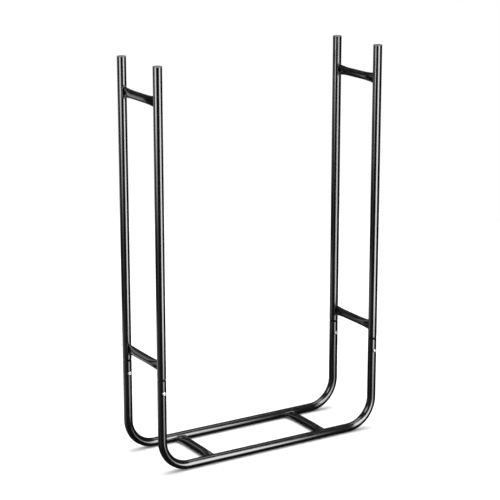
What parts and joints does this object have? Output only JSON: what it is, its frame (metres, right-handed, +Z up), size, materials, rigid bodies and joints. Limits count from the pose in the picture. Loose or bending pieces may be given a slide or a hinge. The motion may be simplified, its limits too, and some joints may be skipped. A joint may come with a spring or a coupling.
{
  "type": "firewood log rack",
  "caption": "Tall open firewood rack of black round tube: U-shaped base hoops, plug-in side frames with pinched cross bars, capped tops.",
  "frame": {"origin": "middle of the footprint, on the floor", "axes": "+Z up, +X to the right as seen from the front, -Y towards the front, where the screw heads are"},
  "size_m": [0.6406, 0.2016, 1],
  "materials": {
    "black_powder_coat": "gloss black powder coat on mild steel tube, fine orange-peel",
    "coated_weld": "rippled weld bead under the same gloss black powder coat",
    "cap_plastic": "moulded black plastic, satin top",
    "zinc_screw": "bright zinc plating",
    "zinc_nut": "dull zinc plating"
  },
  "bodies": {
    "root": {"front_base_hoop": "black_powder_coat", "rear_base_hoop": "black_powder_coat", "left_base_bar": "black_powder_coat", "right_base_bar": "black_powder_coat", "left_front_upright": "black_powder_coat", "left_rear_upright": "black_powder_coat", "right_front_upright": "black_powder_coat", "right_rear_upright": "black_powder_coat", "left_upper_bar": "black_powder_coat", "left_lower_bar": "black_powder_coat", "right_upper_bar": "black_powder_coat", "right_lower_bar": "black_powder_coat", "left_frame_welds": "coated_weld", "right_frame_welds": "coated_weld", "base_welds": "coated_weld", "left_front_cap": "cap_plastic", "left_rear_cap": "cap_plastic", "right_front_cap": "cap_plastic", "right_rear_cap": "cap_plastic", "joint_screws": "zinc_screw", "joint_nuts": "zinc_nut"}
  },
  "joints": []
}
